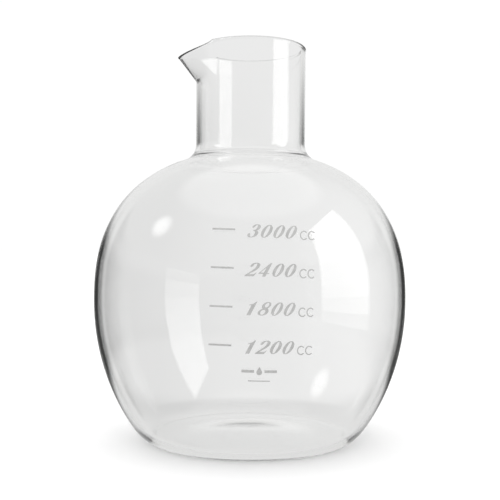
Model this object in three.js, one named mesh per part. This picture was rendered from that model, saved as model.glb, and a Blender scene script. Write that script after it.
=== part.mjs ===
// A graduated glass flask: a blown globe on a flat foot, with a straight neck and a pulled pouring lip.
// Millimetres, +Z up. The origin is the centre of the foot, on the surface that the flask stands on.
// The lip points along -X, and the printed scale faces -Y.

import * as THREE from 'three';

// The globe. Its dome and its bowl are superellipses that share the equator: a power of 2 is an ellipse,
// and a higher power is squarer.
const GLOBE_RADIUS = 97;
const EQUATOR_Z = 87.9;
const DOME_HEIGHT = 91.4;
const DOME_POWER = 2.35;
const BOWL_DEPTH = 119.4;
const BOWL_POWER = 2;
const WALL = 2.4;

// How much deeper the outside of the bowl's ellipse is than its inside, so the wall thickens downwards.
const BOWL_WALL = 3.6;

// The foot: a flat ring round a shallow push-up, with a rounded heel up to the bowl. The inside has a
// slightly smaller floor, so the glass is a little thicker round the edge of the foot.
const FOOT_RADIUS = 59.5;
const FOOT_RING_WIDTH = 9;
const PUSH_UP = 1.8;
const BASE_THICKNESS = 2.8;
const HEEL_HEIGHT = 9.5;
const FLOOR_RADIUS = 58;
const INNER_HEEL_HEIGHT = 9.5;

// The neck: a straight tube on a fillet that meets the dome at the shoulder's slope.
const NECK_RADIUS = 34.4;
const FILLET_RADIUS = 10.8;
const FILLET_TOP_Z = 184;
const SHOULDER_SLOPE = THREE.MathUtils.degToRad(18.3);
const RIM_Z = 245;
const BEAD_PROUD = 0.35;
const BEAD_HEIGHT = 3;

// The ring seal, where the neck is fused to the globe. The gap keeps the two solids apart.
const SEAL_Z = 177;
const SEAL_GAP = 0.3;

// The pouring lip, pulled out of the rim.
const LIP_REACH = 11.9;
const LIP_DEPTH = 21;
const LIP_DROOP = 5.4;
const LIP_HALF_ANGLE = THREE.MathUtils.degToRad(43);
const LIP_TIP_ROUNDING = 0.045;
const LIP_PULL_POWER = 1.45;
const LIP_DROOP_POWER = 0.65;

// The printed scale. Volumes are in cubic centimetres, and a row's height is that of its line.
const VOLUMES = [3000, 2400, 1800, 1200];
const TOP_ROW_Z = 128.3;
const ROW_SPACING = 20.1;
const PRINT_GAP = 0.25;
const PRINT_THICKNESS = 0.15;
const PRINT_TILT = THREE.MathUtils.degToRad(-1.5);
const PRINT_CENTRE_U = 7;
const PRINT_CENTRE_Z = TOP_ROW_Z - 1.5 * ROW_SPACING;
const LINE_LENGTH = 12.1;
const LINE_WIDTH = 0.95;
const LINE_U = -14.7;
const DIGIT_HEIGHT = 7.1;
const DIGIT_PITCH = 6.6;
const DIGIT_U = -3;
const DIGIT_STRETCH = 1.15;
const DIGIT_SLANT = 0.42;
const DIGIT_DROP = 0.5;
const UNIT_HEIGHT = 5;
const UNIT_PITCH = 4.5;
const UNIT_U = 25.9;
const UNIT_DROP = 0.4;

// The emblem under the scale.
const EMBLEM_U = 6.3;
const EMBLEM_DROP = 13.4;
const DROP_HEIGHT = 4.6;
const BAR_LENGTH = 6.6;
const BAR_WIDTH = 1.5;
const BAR_OFFSET = 6;
const RULE_LENGTH = 11.5;
const RULE_WIDTH = 0.6;
const RULE_DROP = 5.2;

// How finely the curves are cut: round the axis, then along each stretch of the walls, then in the print.
const GLOBE_SEGMENTS = 48;
const NECK_SEGMENTS = 56;
const BASE_STEPS = 4;
const HEEL_STEPS = 5;
const BOWL_STEPS = 7;
const DOME_STEPS = 11;
const FILLET_STEPS = 3;
const LIP_STEPS = 6;
const RIM_STEPS = 6;
const GLYPH_STEPS = 5;
const BAR_STEP = 1.6;

const glass = () => new THREE.MeshStandardMaterial({
  color: 0xdfe4e2,
  roughness: 0.03,
  metalness: 0,
  transparent: true,
  opacity: 0.35,
});

const enamel = () => new THREE.MeshStandardMaterial({ color: 0xb9bab8, roughness: 0.55, metalness: 0 });

// The depth of the bowl's ellipse, on the outside or on the inside of the wall.
function bowlDepth(inset) {
  return BOWL_DEPTH - (inset * BOWL_WALL) / WALL;
}

// The globe's radius at a height, on the outside or on a surface inset from it.
function globeRadius(z, inset = 0) {
  const inDome = z > EQUATOR_Z;
  const halfHeight = inDome ? DOME_HEIGHT - inset : bowlDepth(inset);
  const power = inDome ? DOME_POWER : BOWL_POWER;
  const share = Math.abs(z - EQUATOR_Z) / halfHeight;
  return (GLOBE_RADIUS - inset) * (1 - share ** power) ** (1 / power);
}

// The radius on the fillet between the dome and the neck.
function filletRadius(z, inset = 0) {
  const radius = FILLET_RADIUS + inset;
  return NECK_RADIUS + FILLET_RADIUS - Math.sqrt(radius ** 2 - (FILLET_TOP_Z - z) ** 2);
}

// Points up a wall from one height to another, closer together where the wall leans over.
function wallPoints(radiusAt, fromZ, toZ, halfHeight, centreZ, steps) {
  const angleAt = (z) => Math.asin((z - centreZ) / halfHeight);
  const points = [];
  for (let i = 0; i <= steps; i += 1) {
    const angle = THREE.MathUtils.lerp(angleAt(fromZ), angleAt(toZ), i / steps);
    const z = centreZ + halfHeight * Math.sin(angle);
    points.push(new THREE.Vector2(radiusAt(z), z));
  }
  return points;
}

// The underside or the floor, from the axis out to the flat ring.
function basePoints(ringZ, innerRadius) {
  return Array.from({ length: BASE_STEPS + 1 }, (_, i) => {
    const share = i / BASE_STEPS;
    return new THREE.Vector2(innerRadius * share, ringZ + PUSH_UP * (1 - share ** 2));
  });
}

// The rounded heel, from the edge of the flat ring to the bowl.
function heelPoints(ringRadius, ringZ, topZ, inset) {
  const topRadius = globeRadius(topZ, inset);
  const lean = globeRadius(topZ + 0.5, inset) - globeRadius(topZ - 0.5, inset);
  const corner = new THREE.Vector2(topRadius - lean * (topZ - ringZ), ringZ);
  const start = new THREE.Vector2(ringRadius, ringZ);
  const end = new THREE.Vector2(topRadius, topZ);
  return new THREE.QuadraticBezierCurve(start, corner, end).getPoints(HEEL_STEPS);
}

// One side of the globe's wall, from the axis under or over the base up to the ring seal.
function globeSide(inset) {
  const ringZ = inset ? BASE_THICKNESS : 0;
  const heelTop = inset ? BASE_THICKNESS + INNER_HEEL_HEIGHT : HEEL_HEIGHT;
  const heelStart = inset ? FLOOR_RADIUS : FOOT_RADIUS;
  const pushUpRadius = inset ? FLOOR_RADIUS : FOOT_RADIUS - FOOT_RING_WIDTH;
  const heel = heelPoints(heelStart, ringZ, heelTop, inset);
  const shoulderZ = FILLET_TOP_Z - (FILLET_RADIUS + inset) * Math.cos(SHOULDER_SLOPE);
  const radiusAt = (z) => globeRadius(z, inset);
  const filletAt = (z) => filletRadius(z, inset);
  return [
    ...basePoints(ringZ, pushUpRadius),
    ...(inset ? heel.slice(1) : heel),
    ...wallPoints(radiusAt, heelTop, EQUATOR_Z, bowlDepth(inset), EQUATOR_Z, BOWL_STEPS).slice(1),
    ...wallPoints(radiusAt, EQUATOR_Z, shoulderZ, DOME_HEIGHT - inset, EQUATOR_Z, DOME_STEPS).slice(1, -1),
    ...wallPoints(filletAt, shoulderZ, SEAL_Z, FILLET_RADIUS + inset, FILLET_TOP_Z, FILLET_STEPS),
  ];
}

// A solid of revolution about Z, from a profile that is listed anticlockwise in radius and height.
function revolve(profile, segments) {
  return new THREE.LatheGeometry(profile, segments).rotateX(Math.PI / 2);
}

function makeGlobe() {
  const outside = globeSide(0);
  const inside = globeSide(WALL);
  const geometry = revolve([...outside, ...inside.reverse()], GLOBE_SEGMENTS);
  return new THREE.Mesh(geometry, glass());
}

// Half a turn round the rim's edge, from the outside of the bead over the top to the bore.
function rimPoints() {
  const radius = (WALL + BEAD_PROUD) / 2;
  const centre = NECK_RADIUS + BEAD_PROUD - radius;
  return Array.from({ length: RIM_STEPS + 1 }, (_, i) => {
    const angle = Math.PI * (i / RIM_STEPS);
    return new THREE.Vector2(centre + radius * Math.cos(angle), RIM_Z - radius + radius * Math.sin(angle));
  });
}

// One side of the neck's wall, from the seal up to just under the rim's bead.
function neckSide(inset) {
  const bottomZ = SEAL_Z + SEAL_GAP;
  const filletAt = (z) => filletRadius(z, inset);
  const lipBottom = RIM_Z - LIP_DEPTH;
  const straight = Array.from({ length: LIP_STEPS + 1 }, (_, i) => {
    const z = THREE.MathUtils.lerp(lipBottom, RIM_Z - BEAD_HEIGHT, i / LIP_STEPS);
    return new THREE.Vector2(NECK_RADIUS - inset, z);
  });
  return [
    ...wallPoints(filletAt, bottomZ, FILLET_TOP_Z, FILLET_RADIUS + inset, FILLET_TOP_Z, FILLET_STEPS),
    ...straight,
  ];
}

// How near an angle is to the lip's crest, from 0 at the lip's flanks to 1 at the crest.
function nearCrest(angle) {
  const rounded = Math.hypot(angle, LIP_TIP_ROUNDING) - LIP_TIP_ROUNDING;
  return Math.max(0, 1 - rounded / LIP_HALF_ANGLE);
}

// Pulls the lip out of the rim: it reaches outwards and droops, fading out down the neck.
function pullLip(geometry) {
  const position = geometry.getAttribute('position');
  const point = new THREE.Vector3();
  for (let i = 0; i < position.count; i += 1) {
    point.fromBufferAttribute(position, i);
    const height = THREE.MathUtils.clamp((point.z - RIM_Z + LIP_DEPTH) / LIP_DEPTH, 0, 1);
    const near = nearCrest(Math.atan2(point.y, -point.x));
    const radius = Math.hypot(point.x, point.y);
    const stretch = (radius + LIP_REACH * height * near ** LIP_PULL_POWER) / radius;
    const drop = LIP_DROOP * height * near ** LIP_DROOP_POWER;
    position.setXYZ(i, point.x * stretch, point.y * stretch, point.z - drop);
  }
}

function makeNeck() {
  const loop = [...neckSide(0), ...rimPoints(), ...neckSide(WALL).reverse()];
  const geometry = revolve([...loop, loop[0]], NECK_SEGMENTS);
  pullLip(geometry);
  return new THREE.Mesh(geometry, glass());
}

const rowHeights = VOLUMES.map((_, i) => TOP_ROW_Z - i * ROW_SPACING);

// Wraps a flat print on the globe: u runs round to the right, v runs up from a row's height, and the
// geometry's own z is its thickness. The whole print is turned a little about its centre.
function wrapOnGlobe(geometry, rowZ) {
  const position = geometry.getAttribute('position');
  for (let i = 0; i < position.count; i += 1) {
    const u = position.getX(i) - PRINT_CENTRE_U;
    const v = position.getY(i) + rowZ - PRINT_CENTRE_Z;
    const turnedU = u * Math.cos(PRINT_TILT) - v * Math.sin(PRINT_TILT);
    const turnedV = u * Math.sin(PRINT_TILT) + v * Math.cos(PRINT_TILT);
    const z = PRINT_CENTRE_Z + turnedV;
    const radius = globeRadius(z) + PRINT_GAP + position.getZ(i);
    const angle = (PRINT_CENTRE_U + turnedU) / globeRadius(z);
    position.setXYZ(i, radius * Math.sin(angle), -radius * Math.cos(angle), z);
  }
  return new THREE.Mesh(geometry, enamel());
}

// Extrudes an outline drawn with a height of 1, scaled to its real width and height. A digit is stretched
// sideways and leans to the right.
function extrudeGlyph(shape, height, u, v, stretch = 1, slant = 0) {
  const geometry = new THREE.ExtrudeGeometry(shape, {
    depth: PRINT_THICKNESS,
    bevelEnabled: false,
    curveSegments: GLYPH_STEPS,
  });
  const lean = new THREE.Matrix4().makeShear(0, 0, slant, 0, 0, 0);
  geometry.applyMatrix4(lean);
  return geometry.scale(height * stretch, height, 1).translate(u, v, 0);
}

// A closed outline from cubic curves, each as two control points and an end, or lines, each as an end.
function outline(startX, startY, ...pieces) {
  const shape = new THREE.Shape().moveTo(startX, startY);
  pieces.forEach((piece) => {
    if (piece.length === 2) shape.lineTo(...piece);
    else shape.bezierCurveTo(...piece);
  });
  shape.closePath();
  return shape;
}

function ovalHole(x, y, radiusX, radiusY) {
  return new THREE.Path().absellipse(x, y, radiusX, radiusY, 0, 2 * Math.PI, true);
}

function zeroShape() {
  const shape = new THREE.Shape().absellipse(0.33, 0.5, 0.33, 0.5, 0, 2 * Math.PI, false);
  shape.holes.push(ovalHole(0.33, 0.5, 0.115, 0.44));
  return shape;
}

function oneShape() {
  return outline(
    0.2, 0,
    [0.45, 0],
    [0.45, 1],
    [0.38, 1],
    [0.32, 0.86, 0.2, 0.78, 0.06, 0.78],
    [0.06, 0.72],
    [0.2, 0.74],
  );
}

function twoShape() {
  return outline(
    0, 0,
    [0.58, 0],
    [0.66, 0.28],
    [0.6, 0.28],
    [0.56, 0.18, 0.52, 0.16, 0.42, 0.16],
    [0.22, 0.16],
    [0.4, 0.34, 0.66, 0.5, 0.66, 0.74],
    [0.66, 0.9, 0.54, 1, 0.36, 1],
    [0.16, 1, 0.04, 0.9, 0.04, 0.76],
    [0.04, 0.65, 0.2, 0.64, 0.22, 0.76],
    [0.23, 0.86, 0.28, 0.94, 0.35, 0.94],
    [0.42, 0.94, 0.44, 0.86, 0.44, 0.74],
    [0.44, 0.54, 0.2, 0.34, 0, 0.08],
  );
}

function threeShape() {
  return outline(
    0.02, 0.24,
    [0.02, 0.08, 0.14, 0, 0.32, 0],
    [0.52, 0, 0.66, 0.12, 0.66, 0.3],
    [0.66, 0.42, 0.58, 0.5, 0.46, 0.53],
    [0.57, 0.56, 0.62, 0.65, 0.62, 0.75],
    [0.62, 0.9, 0.5, 1, 0.34, 1],
    [0.18, 1, 0.08, 0.92, 0.08, 0.8],
    [0.08, 0.7, 0.22, 0.7, 0.24, 0.8],
    [0.25, 0.88, 0.28, 0.94, 0.33, 0.94],
    [0.39, 0.94, 0.41, 0.86, 0.41, 0.76],
    [0.41, 0.62, 0.36, 0.56, 0.24, 0.56],
    [0.24, 0.5],
    [0.38, 0.5, 0.44, 0.42, 0.44, 0.29],
    [0.44, 0.14, 0.4, 0.06, 0.31, 0.06],
    [0.25, 0.06, 0.21, 0.13, 0.2, 0.23],
    [0.19, 0.34, 0.02, 0.34, 0.02, 0.24],
  );
}

function fourShape() {
  const shape = outline(
    0.3, 0,
    [0.52, 0],
    [0.52, 0.2],
    [0.66, 0.2],
    [0.66, 0.28],
    [0.52, 0.28],
    [0.52, 1],
    [0.42, 1],
    [0, 0.28],
    [0, 0.2],
    [0.3, 0.2],
  );
  shape.holes.push(new THREE.Path().moveTo(0.3, 0.29).lineTo(0.09, 0.29).lineTo(0.3, 0.66).closePath());
  return shape;
}

function eightShape() {
  const shape = outline(
    0.34, 0,
    [0.54, 0, 0.66, 0.1, 0.66, 0.26],
    [0.66, 0.38, 0.58, 0.48, 0.5, 0.54],
    [0.58, 0.6, 0.62, 0.68, 0.62, 0.76],
    [0.62, 0.9, 0.52, 1, 0.36, 1],
    [0.2, 1, 0.08, 0.9, 0.08, 0.74],
    [0.08, 0.64, 0.12, 0.56, 0.2, 0.5],
    [0.08, 0.44, 0.02, 0.36, 0.02, 0.25],
    [0.02, 0.1, 0.14, 0, 0.34, 0],
  );
  shape.holes.push(ovalHole(0.37, 0.77, 0.12, 0.17), ovalHole(0.32, 0.24, 0.15, 0.18));
  return shape;
}

// The unit's letter: a thin ring, open to the right.
function letterCShape() {
  const opening = THREE.MathUtils.degToRad(42);
  const shape = new THREE.Shape();
  shape.absellipse(0.46, 0.5, 0.46, 0.5, opening, 2 * Math.PI - opening, false);
  shape.absellipse(0.46, 0.5, 0.33, 0.37, 2 * Math.PI - opening, opening, true);
  shape.closePath();
  return shape;
}

const DIGIT_SHAPES = {
  0: zeroShape,
  1: oneShape,
  2: twoShape,
  3: threeShape,
  4: fourShape,
  8: eightShape,
};

// A plain bar, cut along its length so that it follows the globe.
function bar(length, width, u, v) {
  const pieces = Math.ceil(length / BAR_STEP);
  const geometry = new THREE.BoxGeometry(length, width, PRINT_THICKNESS, pieces, 1, 1);
  return geometry.translate(u, v, PRINT_THICKNESS / 2);
}

function makeMark(volume, rowZ) {
  const row = new THREE.Group();
  const digitV = -DIGIT_DROP - DIGIT_HEIGHT / 2;
  const addPiece = (name, geometry) => {
    const piece = wrapOnGlobe(geometry, rowZ);
    piece.name = `${name}_${volume}`;
    row.add(piece);
  };
  addPiece('scale_line', bar(LINE_LENGTH, LINE_WIDTH, LINE_U, 0));
  [...String(volume)].forEach((digit, i) => {
    const u = DIGIT_U + i * DIGIT_PITCH;
    const place = ['thousands', 'hundreds', 'tens', 'ones'][i];
    const shape = DIGIT_SHAPES[digit]();
    addPiece(`numeral_${place}`, extrudeGlyph(shape, DIGIT_HEIGHT, u, digitV, DIGIT_STRETCH, DIGIT_SLANT));
  });
  ['first', 'second'].forEach((place, i) => {
    const u = UNIT_U + i * UNIT_PITCH;
    addPiece(`unit_c_${place}`, extrudeGlyph(letterCShape(), UNIT_HEIGHT, u, digitV - UNIT_DROP));
  });
  return row;
}

function dropShape() {
  return outline(
    0, 0.56,
    [-0.1, 0.32, -0.32, 0.12, -0.32, -0.12],
    [-0.32, -0.32, -0.18, -0.44, 0, -0.44],
    [0.18, -0.44, 0.32, -0.32, 0.32, -0.12],
    [0.32, 0.12, 0.1, 0.32, 0, 0.56],
  );
}

function makeEmblem(rowZ) {
  const emblem = new THREE.Group();
  const addPiece = (name, geometry) => {
    const piece = wrapOnGlobe(geometry, rowZ - EMBLEM_DROP);
    piece.name = name;
    emblem.add(piece);
  };
  addPiece('emblem_drop', extrudeGlyph(dropShape(), DROP_HEIGHT, EMBLEM_U, 0));
  addPiece('emblem_bar_left', bar(BAR_LENGTH, BAR_WIDTH, EMBLEM_U - BAR_OFFSET, 0));
  addPiece('emblem_bar_right', bar(BAR_LENGTH, BAR_WIDTH, EMBLEM_U + BAR_OFFSET, 0));
  addPiece('emblem_rule', bar(RULE_LENGTH, RULE_WIDTH, EMBLEM_U, -RULE_DROP));
  return emblem;
}

const flask = new THREE.Group();

const globe = makeGlobe();
globe.name = 'globe';
flask.add(globe);

const neck = makeNeck();
neck.name = 'neck';
flask.add(neck);

VOLUMES.forEach((volume, i) => flask.add(makeMark(volume, rowHeights[i])));
flask.add(makeEmblem(rowHeights.at(-1)));

export default flask;
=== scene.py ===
import math

import bpy
import numpy as np
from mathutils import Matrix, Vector
from mathutils.geometry import delaunay_2d_cdt


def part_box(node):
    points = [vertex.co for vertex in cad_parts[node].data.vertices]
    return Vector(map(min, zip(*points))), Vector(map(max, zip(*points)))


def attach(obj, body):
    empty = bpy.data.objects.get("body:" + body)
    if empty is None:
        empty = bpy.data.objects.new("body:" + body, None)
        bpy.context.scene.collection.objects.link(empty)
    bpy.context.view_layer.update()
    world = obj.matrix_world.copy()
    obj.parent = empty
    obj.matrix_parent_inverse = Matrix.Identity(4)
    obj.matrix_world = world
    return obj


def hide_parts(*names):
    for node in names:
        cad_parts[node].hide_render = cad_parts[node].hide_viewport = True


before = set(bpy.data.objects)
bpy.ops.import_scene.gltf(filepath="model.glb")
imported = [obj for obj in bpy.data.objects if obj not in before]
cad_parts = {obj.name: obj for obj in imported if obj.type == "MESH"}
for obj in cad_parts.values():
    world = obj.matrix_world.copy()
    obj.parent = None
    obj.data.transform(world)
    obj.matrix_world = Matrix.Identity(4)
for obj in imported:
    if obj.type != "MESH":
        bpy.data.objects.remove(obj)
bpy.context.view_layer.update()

# The visual model of a graduated glass flask. Metres, +Z up, with the pouring lip towards -X and the
# printed scale towards -Y, as in the frame.

MM = 0.001

# The glass, from the CAD bodies where they say it, and from the design's other driving dimensions.
GLOBE_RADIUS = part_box("globe")[1].x
RIM_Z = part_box("neck")[1].z
EQUATOR_Z = 87.9 * MM
DOME_HEIGHT = 91.4 * MM
DOME_POWER = 2.35
BOWL_DEPTH = 119.4 * MM
BOWL_POWER = 2
WALL = 2.4 * MM
BOWL_WALL = 3.6 * MM
FOOT_RADIUS = 59.5 * MM
FOOT_RING_WIDTH = 9 * MM
PUSH_UP = 1.8 * MM
BASE_THICKNESS = 2.8 * MM
HEEL_HEIGHT = 9.5 * MM
FLOOR_RADIUS = 58 * MM
INNER_HEEL_HEIGHT = 9.5 * MM
NECK_RADIUS = 34.4 * MM
FILLET_RADIUS = 10.8 * MM
FILLET_TOP_Z = 184 * MM
SHOULDER_SLOPE = math.radians(18.3)
BEAD_PROUD = 0.35 * MM

# The bead of glass that the flame seal leaves round the join of the neck and the globe.
SEAL_Z = 175.5 * MM
SEAL_HALF_WIDTH = 1.0 * MM
SEAL_SWELL_INSIDE = 0.6 * MM
SEAL_SWELL_OUTSIDE = 0.05 * MM

# The pouring lip.
LIP_REACH = 11.9 * MM
LIP_DEPTH = 21 * MM
LIP_DROOP = 5.4 * MM
LIP_HALF_ANGLE = math.radians(43)
LIP_TIP_ROUNDING = 0.045
LIP_PULL_POWER = 1.45
LIP_DROOP_POWER = 0.65

# How finely the glass is cut: round the axis, then along each stretch of the walls. A point whose radius is
# no more than ON_AXIS is on the axis.
GLASS_SEGMENTS = 288
BASE_STEPS = 14
HEEL_STEPS = 16
BOWL_STEPS = 36
DOME_STEPS = 52
FILLET_STEPS = 26
NECK_STEPS = 13
LIP_STEPS = 33
RIM_STEPS = 20
ON_AXIS = 1e-9

# The print: enamel that stands only just proud of the glass, filled with points on a grid.
PRINT_INNER = 0.012 * MM
PRINT_OUTER = 0.05 * MM
PRINT_GRID = 0.9 * MM
PRINT_CLEAR = 0.3 * PRINT_GRID

# The smoothing of its outlines: points closer than SAME_POINT are one, a turn of more than SHARP_TURN is a
# corner, and a side is cut only if it is longer than LONG_SIDE and turns by more than STRAIGHT at an end.
SAME_POINT = 2e-3 * MM
SHARP_TURN = math.radians(38)
LONG_SIDE = 0.25 * MM
STRAIGHT = 1e-3
SMOOTHING_PASSES = 2
NEAR_WEIGHT = 9 / 16
FAR_WEIGHT = 1 / 16
WELD = 1e-9

# The studio as the glass sees it. AROUND is (azimuth, radiance), in degrees to the right of straight behind
# the flask. The next four are (radiance, from elevation, to elevation), and TABLE_SHADE scales what is there.
# LAMP is (radiance, azimuth, elevation, radius of its core, radius of its halo).
AROUND = [
    (-180, 0.65), (-150, 0.55), (-100, 0.35), (-60, 0.3), (-42, 0.15), (-32, 0.04), (-20, 0.04), (-17, 0.76),
    (-7, 0.77), (-2, 0.83), (3, 0.85), (9, 0.92), (17, 0.92), (20, 0.04), (32, 0.04), (42, 0.4), (60, 0.9),
    (100, 1.1), (150, 0.85), (180, 0.65),
]
HIGH_WALL = (0.84, 5, 15)
OVERHEAD = (1.3, 51, 60)
TABLE_SHADE = (0.84, -10.8, -13.5)
LOW_WALL = (0.75, -14, -20)
LAMP = (3.4, -97, 36, 1.5, 9)

# The window, in a wall that faces the flask from the right. It is dimmer towards its foot.
WINDOW_X = 0.38
WINDOW_Y = (-0.36, -0.05)
WINDOW_Z = (0.005, 0.49)
WINDOW_PANES = 12
WINDOW_RADIANCE = 2.45
WINDOW_FADE = 0.1

# The radiance of the plain background, and of the light that the table and the print scatter.
TO_CAMERA = 1.02
SOFT_LIGHT = 1.5

FLOOR_REACH = 30.0
FLOOR_DROP = 0.05 * MM
FLOOR_WHITE = (0.86, 0.86, 0.86, 1)

CAMERA_PLACE = (0.0, -0.527, 0.1179)
CAMERA_TURN = (math.radians(90), math.radians(-0.3), 0)
CAMERA_LENS = 60
CAMERA_SENSOR = 36


def bowl_depth(inset):
    """The depth of the bowl's ellipse, on the outside or on the inside of the wall."""
    return BOWL_DEPTH - inset / WALL * BOWL_WALL


def globe_radius(z, inset=0.0):
    """The globe's radius at a height, on the outside or on a surface inset from it."""
    in_dome = z > EQUATOR_Z
    half_height = DOME_HEIGHT - inset if in_dome else bowl_depth(inset)
    power = DOME_POWER if in_dome else BOWL_POWER
    share = abs(z - EQUATOR_Z) / half_height
    return (GLOBE_RADIUS - inset) * max(0.0, 1 - share**power) ** (1 / power)


def fillet_radius(z, inset=0.0):
    """The radius on the fillet between the dome and the neck."""
    across = math.sqrt((FILLET_RADIUS + inset) ** 2 - (FILLET_TOP_Z - z) ** 2)
    return NECK_RADIUS + FILLET_RADIUS - across


def wall_points(radius_at, from_z, to_z, half_height, centre_z, steps):
    """Points up a wall from one height to another, closer together where the wall leans over."""
    low = math.asin((from_z - centre_z) / half_height)
    high = math.asin((to_z - centre_z) / half_height)
    heights = [centre_z + half_height * math.sin(low + (high - low) * i / steps) for i in range(steps + 1)]
    return [(radius_at(z), z) for z in heights]


def base_points(ring_z, inner_radius):
    """The underside or the floor, from the axis out to the flat ring."""
    shares = [i / BASE_STEPS for i in range(BASE_STEPS + 1)]
    return [(inner_radius * s, ring_z + PUSH_UP * (1 - s * s) ** 2) for s in shares]


def heel_points(ring_radius, ring_z, top_z, inset):
    """The rounded heel, from the edge of the flat ring to the bowl."""
    step = 0.5 * MM
    top_radius = globe_radius(top_z, inset)
    lean = (globe_radius(top_z + step, inset) - globe_radius(top_z - step, inset)) / (2 * step)
    start, corner, end = np.array(
        [(ring_radius, ring_z), (top_radius - lean * (top_z - ring_z), ring_z), (top_radius, top_z)]
    )
    shares = [i / HEEL_STEPS for i in range(HEEL_STEPS + 1)]
    return [tuple((1 - s) ** 2 * start + 2 * s * (1 - s) * corner + s * s * end) for s in shares]


def seal_swell(radius, z, inset):
    """A wall point pushed out of the glass where the flame seal has thickened it."""
    bell = math.exp(-(((z - SEAL_Z) / SEAL_HALF_WIDTH) ** 2))
    return radius + bell * (SEAL_SWELL_OUTSIDE if inset == 0 else -SEAL_SWELL_INSIDE)


def side_points(inset):
    """One side of the wall, from the axis at the base up to just under the rim's bead."""
    ring_z = BASE_THICKNESS if inset else 0.0
    heel_top = BASE_THICKNESS + INNER_HEEL_HEIGHT if inset else HEEL_HEIGHT
    heel_start = FLOOR_RADIUS if inset else FOOT_RADIUS
    push_up_radius = FLOOR_RADIUS if inset else FOOT_RADIUS - FOOT_RING_WIDTH
    heel = heel_points(heel_start, ring_z, heel_top, inset)
    fillet_reach = FILLET_RADIUS + inset
    shoulder_z = FILLET_TOP_Z - fillet_reach * math.cos(SHOULDER_SLOPE)
    lip_bottom = RIM_Z - LIP_DEPTH
    bead_bottom = RIM_Z - (WALL + BEAD_PROUD) / 2
    plain_radius = NECK_RADIUS - inset

    def on_globe(z):
        return globe_radius(z, inset)

    def on_fillet(z):
        return fillet_radius(z, inset)

    points = [
        *base_points(ring_z, push_up_radius),
        *(heel[1:] if inset else heel),
        *wall_points(on_globe, heel_top, EQUATOR_Z, bowl_depth(inset), EQUATOR_Z, BOWL_STEPS)[1:],
        *wall_points(on_globe, EQUATOR_Z, shoulder_z, DOME_HEIGHT - inset, EQUATOR_Z, DOME_STEPS)[1:-1],
        *wall_points(on_fillet, shoulder_z, FILLET_TOP_Z, fillet_reach, FILLET_TOP_Z, FILLET_STEPS),
    ]
    points += [(plain_radius, z) for z in np.linspace(FILLET_TOP_Z, lip_bottom, NECK_STEPS + 1)[1:]]
    points += [(plain_radius, z) for z in np.linspace(lip_bottom, bead_bottom, LIP_STEPS + 1)[1:-1]]
    return [(seal_swell(r, z, inset), z) for r, z in points]


def rim_points():
    """Half a turn round the rim's edge, from the outside of the bead over the top to the bore."""
    radius = (WALL + BEAD_PROUD) / 2
    centre = NECK_RADIUS + BEAD_PROUD - radius
    angles = [math.pi * i / RIM_STEPS for i in range(RIM_STEPS + 1)]
    return [(centre + radius * math.cos(a), RIM_Z - radius + radius * math.sin(a)) for a in angles]


def near_crest(angle):
    """How near an angle is to the lip's crest, from 0 at the lip's flanks to 1 at the crest."""
    rounded = np.hypot(angle, LIP_TIP_ROUNDING) - LIP_TIP_ROUNDING
    return np.clip(1 - rounded / LIP_HALF_ANGLE, 0, 1)


def pull_lip(points):
    """Pulls the lip out of the rim: it reaches outwards and droops, fading out down the neck."""
    x, y, z = points.T
    height = np.clip((z - RIM_Z + LIP_DEPTH) / LIP_DEPTH, 0, 1)
    near = near_crest(np.arctan2(y, -x))
    radius = np.maximum(np.hypot(x, y), ON_AXIS)
    stretch = (radius + LIP_REACH * height * near**LIP_PULL_POWER) / radius
    return np.stack([x * stretch, y * stretch, z - LIP_DROOP * height * near**LIP_DROOP_POWER], axis=1)


def revolve(profile, segments):
    """The points and faces of a solid of revolution, from a profile that starts and ends on the axis."""
    ring = [p for p in profile if p[0] > ON_AXIS]
    angles = np.arange(segments) * 2 * math.pi / segments + math.pi
    points = [(r * math.cos(a), r * math.sin(a), z) for r, z in ring for a in angles]
    faces = []
    for row in range(len(ring) - 1):
        for i in range(segments):
            a, b = row * segments + i, row * segments + (i + 1) % segments
            faces.append((a, b, b + segments, a + segments))
    poles = [len(points), len(points) + 1]
    points += [(0, 0, profile[0][1]), (0, 0, profile[-1][1])]
    last = (len(ring) - 1) * segments
    for i in range(segments):
        j = (i + 1) % segments
        faces.append((poles[0], j, i))
        faces.append((poles[1], last + i, last + j))
    return np.array(points), faces


def new_object(name, points, faces, material, smooth=True):
    mesh = bpy.data.meshes.new(name)
    mesh.from_pydata([tuple(p) for p in points], [], faces)
    mesh.update()
    mesh.polygons.foreach_set("use_smooth", [smooth] * len(mesh.polygons))
    mesh.materials.append(material)
    piece = bpy.data.objects.new(name, mesh)
    bpy.context.scene.collection.objects.link(piece)
    return piece


def add_node(tree, kind, inputs=None, **settings):
    """A shader node with its settings, its plain input values and its links."""
    node = tree.nodes.new(kind)
    for key, value in settings.items():
        setattr(node, key, value)
    for key, value in (inputs or {}).items():
        if isinstance(value, bpy.types.NodeSocket):
            tree.links.new(value, node.inputs[key])
        else:
            node.inputs[key].default_value = value
    return node


def new_material(name):
    material = bpy.data.materials.new(name)
    material.use_nodes = True
    tree = material.node_tree
    tree.nodes.clear()
    return material, tree


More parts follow.
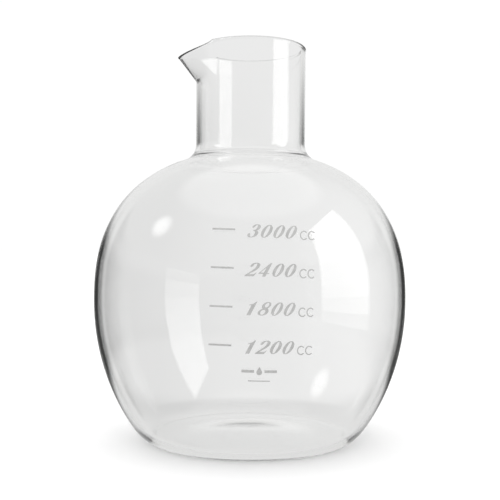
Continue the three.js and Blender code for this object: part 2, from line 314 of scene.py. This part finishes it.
def glass_material():
    """Clear borosilicate: a faint waviness from blowing, a trace of film on it, and a little absorption."""
    material, tree = new_material("clear_borosilicate")
    place = add_node(tree, "ShaderNodeTexCoord").outputs["Object"]
    film = add_node(tree, "ShaderNodeTexNoise", {"Vector": place, "Scale": 55.0, "Detail": 4.0})
    roughness = add_node(
        tree,
        "ShaderNodeMapRange",
        {"Value": film.outputs["Fac"], "From Min": 0.5, "From Max": 0.8, "To Min": 0.0, "To Max": 0.035},
    )
    waves = add_node(tree, "ShaderNodeTexNoise", {"Vector": place, "Scale": 22.0, "Detail": 1.0})
    bump = add_node(
        tree,
        "ShaderNodeBump",
        {"Height": waves.outputs["Fac"], "Strength": 0.12, "Distance": 0.5 * MM},
    )
    surface = add_node(
        tree,
        "ShaderNodeBsdfPrincipled",
        {
            "Base Color": (1, 1, 1, 1),
            "Transmission Weight": 1.0,
            "IOR": 1.473,
            "Roughness": roughness.outputs["Result"],
            "Normal": bump.outputs["Normal"],
        },
    )
    depth = add_node(
        tree,
        "ShaderNodeVolumeAbsorption",
        {"Color": (0.5, 0.54, 0.43, 1), "Density": 9.0},
    )
    add_node(
        tree,
        "ShaderNodeOutputMaterial",
        {"Surface": surface.outputs["BSDF"], "Volume": depth.outputs["Volume"]},
    )
    return material


def enamel_material():
    """Fired grey-white enamel: slightly uneven in tone, with a fine grain that breaks up its gloss."""
    material, tree = new_material("fired_enamel")
    place = add_node(tree, "ShaderNodeTexCoord").outputs["Object"]
    patches = add_node(tree, "ShaderNodeTexNoise", {"Vector": place, "Scale": 420.0, "Detail": 3.0})
    ramp = add_node(tree, "ShaderNodeValToRGB", {"Fac": patches.outputs["Fac"]})
    ramp.color_ramp.elements[0].position = 0.3
    ramp.color_ramp.elements[0].color = (0.32, 0.32, 0.315, 1)
    ramp.color_ramp.elements[1].position = 0.7
    ramp.color_ramp.elements[1].color = (0.39, 0.39, 0.385, 1)
    grain = add_node(tree, "ShaderNodeTexNoise", {"Vector": place, "Scale": 3000.0, "Detail": 2.0})
    bump = add_node(
        tree,
        "ShaderNodeBump",
        {"Height": grain.outputs["Fac"], "Strength": 0.25, "Distance": 0.02 * MM},
    )
    surface = add_node(
        tree,
        "ShaderNodeBsdfPrincipled",
        {
            "Base Color": ramp.outputs["Color"],
            "Roughness": 0.5,
            "Normal": bump.outputs["Normal"],
        },
    )
    add_node(tree, "ShaderNodeOutputMaterial", {"Surface": surface.outputs["BSDF"]})
    return material


def make_glass(material):
    outside = side_points(0.0)
    inside = side_points(WALL)
    points, faces = revolve([*outside, *rim_points(), *reversed(inside)], GLASS_SEGMENTS)
    piece = new_object("flask_glass", pull_lip(points), faces, material)
    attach(piece, "root")
    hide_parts("globe", "neck")


def flat_point(point):
    """A point near the globe as a distance round it and a height."""
    x, y, z = point
    return math.atan2(x, -y) * GLOBE_RADIUS, z


def on_globe(u, v, proud):
    """The place on the globe of a flat point, standing proud of the glass."""
    angle = u / GLOBE_RADIUS
    radius = globe_radius(v) + proud
    return radius * math.sin(angle), -radius * math.cos(angle), v


def cap_loops(node):
    """The closed outlines, in flat points, of the face of a CAD print that looks outwards."""
    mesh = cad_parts[node].data
    places = {}
    merged = []
    for vertex in mesh.vertices:
        key = tuple(round(c / SAME_POINT) for c in vertex.co)
        merged.append(places.setdefault(key, len(places)))
    where = {merged[v.index]: v.co.copy() for v in mesh.vertices}
    proud = {i: math.hypot(p.x, p.y) - globe_radius(p.z) for i, p in where.items()}
    middle = (max(proud.values()) + min(proud.values())) / 2
    directed = set()
    for face in mesh.polygons:
        corners = [merged[i] for i in face.vertices]
        if all(proud[i] > middle for i in corners):
            directed.update(zip(corners, corners[1:] + corners[:1]))
    following = {a: b for a, b in directed if (b, a) not in directed}
    loops = []
    while following:
        start = next(iter(following))
        loop = [start]
        while following[loop[-1]] != start:
            loop.append(following[loop[-1]])
        for i in loop:
            del following[i]
        loops.append([Vector(flat_point(where[i])) for i in loop])
    return loops


def smooth_loop(loop):
    """The loop with a point added on each curved stretch, which keeps its corners and its own points."""
    count = len(loop)
    turns = []
    for i in range(count):
        before, after = loop[i] - loop[i - 1], loop[(i + 1) % count] - loop[i]
        turns.append(abs(before.angle_signed(after, 0)) if before.length and after.length else 0)
    smooth = []
    for i in range(count):
        a, b = loop[i], loop[(i + 1) % count]
        smooth.append(a)
        before = loop[i - 1] if turns[i] < SHARP_TURN else 2 * a - b
        after = loop[(i + 2) % count] if turns[(i + 1) % count] < SHARP_TURN else 2 * b - a
        if (b - a).length > LONG_SIDE and max(turns[i], turns[(i + 1) % count]) > STRAIGHT:
            smooth.append((a + b) * NEAR_WEIGHT - (before + after) * FAR_WEIGHT)
    return smooth


def inside(point, loops):
    """True if a flat point is inside the outline and outside its holes."""
    x, y = point
    crossings = 0
    for loop in loops:
        for i, b in enumerate(loop):
            a = loop[i - 1]
            if (a.y > y) != (b.y > y) and x < a.x + (y - a.y) / (b.y - a.y) * (b.x - a.x):
                crossings += 1
    return crossings % 2 == 1


def fill_flat(loops):
    """Flat points and triangles that fill the outlines, small enough to follow the globe."""
    points = [p for loop in loops for p in loop]
    edges = []
    for loop in loops:
        first = len(edges)
        edges += [(first + i, first + (i + 1) % len(loop)) for i in range(len(loop))]
    low = [min(p[k] for p in points) for k in (0, 1)]
    high = [max(p[k] for p in points) for k in (0, 1)]
    columns = int((high[0] - low[0]) / PRINT_GRID) + 1
    rows = int((high[1] - low[1]) / PRINT_GRID) + 1
    for column in range(columns):
        for row in range(rows):
            spot = Vector((low[0] + (column + 0.5) * PRINT_GRID, low[1] + (row + 0.5) * PRINT_GRID))
            clear = min((spot - p).length for p in points[: len(edges)]) > PRINT_CLEAR
            if clear and inside(spot, loops):
                points.append(spot)
    flat, _, triangles, *_ = delaunay_2d_cdt(points, edges, [], 0, WELD)
    kept = []
    for t in triangles:
        centre = (flat[t[0]] + flat[t[1]] + flat[t[2]]) / 3
        if inside(centre, loops):
            kept.append(tuple(t))
    return flat, kept


def make_print(node, material):
    """A CAD print as thin enamel that lies on the glass, with its curves made smooth."""
    loops = cap_loops(node)
    for _ in range(SMOOTHING_PASSES):
        loops = [smooth_loop(loop) for loop in loops]
    flat, triangles = fill_flat(loops)
    count = len(flat)
    points = [on_globe(*p, PRINT_OUTER) for p in flat] + [on_globe(*p, PRINT_INNER) for p in flat]
    faces = list(triangles)
    faces += [(a + count, c + count, b + count) for a, b, c in triangles]
    directed = {e for a, b, c in triangles for e in ((a, b), (b, c), (c, a))}
    faces += [(b, a, a + count, b + count) for a, b in directed if (b, a) not in directed]
    piece = new_object("printed_" + node, points, faces, material, smooth=False)
    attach(piece, "root")
    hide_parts(node)


def make_floor():
    material, tree = new_material("white_table")
    surface = add_node(tree, "ShaderNodeBsdfDiffuse", {"Color": FLOOR_WHITE})
    add_node(tree, "ShaderNodeOutputMaterial", {"Surface": surface.outputs["BSDF"]})
    corners = [(FLOOR_REACH * x, FLOOR_REACH * y, 0) for x, y in ((-1, -1), (1, -1), (1, 1), (-1, 1))]
    floor = new_object("table", corners, [(0, 1, 2, 3)], material, smooth=False)
    floor.location.z = -FLOOR_DROP
    floor.visible_transmission = False
    floor.visible_glossy = False


def make_camera():
    camera = bpy.data.cameras.new("camera")
    camera.lens = CAMERA_LENS
    camera.sensor_width = CAMERA_SENSOR
    camera.clip_start = 0.01
    camera.clip_end = 100
    body = bpy.data.objects.new("camera", camera)
    body.location = CAMERA_PLACE
    body.rotation_euler = CAMERA_TURN
    bpy.context.scene.collection.objects.link(body)
    bpy.context.scene.camera = body


def soft_step(tree, value, start, end):
    """A mask that turns smoothly from 0 to 1 between two values."""
    return add_node(
        tree,
        "ShaderNodeMapRange",
        {"Value": value, "From Min": start, "From Max": end},
        interpolation_type="SMOOTHSTEP",
    ).outputs["Result"]


def calculate(tree, operation, *values):
    return add_node(tree, "ShaderNodeMath", dict(enumerate(values)), operation=operation).outputs["Value"]


def blend(tree, share, before, after):
    return add_node(tree, "ShaderNodeMix", {0: share, 2: before, 3: after}).outputs[0]


def studio_greys(tree):
    """The greys that the glass sees: a bright panel behind the flask between two black flags, a room that
    is lighter on the right, a panel overhead and a small round lamp on the left."""
    place = add_node(tree, "ShaderNodeTexCoord").outputs["Generated"]
    split = add_node(tree, "ShaderNodeSeparateXYZ", {"Vector": place})
    azimuth = calculate(tree, "ARCTAN2", split.outputs["X"], split.outputs["Y"])
    azimuth = calculate(tree, "DEGREES", azimuth)
    elevation = calculate(tree, "DEGREES", calculate(tree, "ARCSINE", split.outputs["Z"]))
    turn = calculate(tree, "MULTIPLY_ADD", azimuth, 1 / 360, 0.5)
    ramp = add_node(tree, "ShaderNodeValToRGB", {"Fac": turn})
    elements = ramp.color_ramp.elements
    while len(elements) < len(AROUND):
        elements.new(0.5)
    for element, (degrees, grey) in zip(elements, AROUND):
        element.position = degrees / 360 + 0.5
        element.color = (grey, grey, grey, 1)
    shade, start, end = TABLE_SHADE
    shade = blend(tree, soft_step(tree, elevation, start, end), 1.0, shade)
    greys = calculate(tree, "MULTIPLY", ramp.outputs["Color"], shade)
    for grey, start, end in (HIGH_WALL, OVERHEAD, LOW_WALL):
        greys = blend(tree, soft_step(tree, elevation, start, end), greys, grey)
    grey, side, height, core, halo = LAMP
    side, height = math.radians(side), math.radians(height)
    aim = (math.sin(side) * math.cos(height), math.cos(side) * math.cos(height), math.sin(height))
    facing = add_node(tree, "ShaderNodeVectorMath", {0: place, 1: aim}, operation="DOT_PRODUCT")
    start, end = math.cos(math.radians(halo)), math.cos(math.radians(core))
    return blend(tree, soft_step(tree, facing.outputs["Value"], start, end), greys, grey)


def make_world():
    """Plain white to the camera, and plain soft light for what scatters it. The glass sees the studio."""
    world = bpy.data.worlds.new("studio")
    world.use_nodes = True
    world.cycles.sampling_method = "NONE"
    tree = world.node_tree
    tree.nodes.clear()
    path = add_node(tree, "ShaderNodeLightPath").outputs
    grey = blend(tree, path["Is Camera Ray"], studio_greys(tree), TO_CAMERA)
    grey = blend(tree, calculate(tree, "GREATER_THAN", path["Diffuse Depth"], 0.5), grey, SOFT_LIGHT)
    light = add_node(tree, "ShaderNodeBackground", {"Color": (1, 1, 1, 1), "Strength": grey})
    add_node(tree, "ShaderNodeOutputWorld", {"Surface": light.outputs["Background"]})
    bpy.context.scene.world = world


def make_window():
    """A tall soft window that only the glass's reflections and refractions show, as a stack of panes."""
    edges = np.linspace(*WINDOW_Z, WINDOW_PANES + 1)
    width = WINDOW_Y[1] - WINDOW_Y[0]
    height = edges[1] - edges[0]
    for i, middle in enumerate((edges[1:] + edges[:-1]) / 2):
        radiance = WINDOW_RADIANCE * (1 - math.exp(-middle / WINDOW_FADE))
        light = bpy.data.lights.new(f"pane_{i}", "AREA")
        light.shape = "RECTANGLE"
        light.size, light.size_y = height, width
        light.energy = radiance * math.pi * width * height
        pane = bpy.data.objects.new(f"pane_{i}", light)
        pane.location = (WINDOW_X, sum(WINDOW_Y) / 2, middle)
        pane.rotation_euler = (0, math.radians(90), 0)
        pane.visible_camera = False
        pane.visible_diffuse = False
        bpy.context.scene.collection.objects.link(pane)


def set_picture():
    scene = bpy.context.scene
    scene.view_settings.view_transform = "Standard"
    scene.view_settings.look = "None"
    scene.cycles.max_bounces = 24
    scene.cycles.transmission_bounces = 20
    scene.cycles.glossy_bounces = 10
    scene.cycles.diffuse_bounces = 3
    scene.cycles.transparent_max_bounces = 8
    scene.cycles.sample_clamp_indirect = 6
    scene.cycles.use_denoising = True


make_camera()
glass = glass_material()
enamel = enamel_material()
make_glass(glass)
for node in sorted(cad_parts):
    if node not in ("globe", "neck"):
        make_print(node, enamel)
make_floor()
make_world()
make_window()
set_picture()
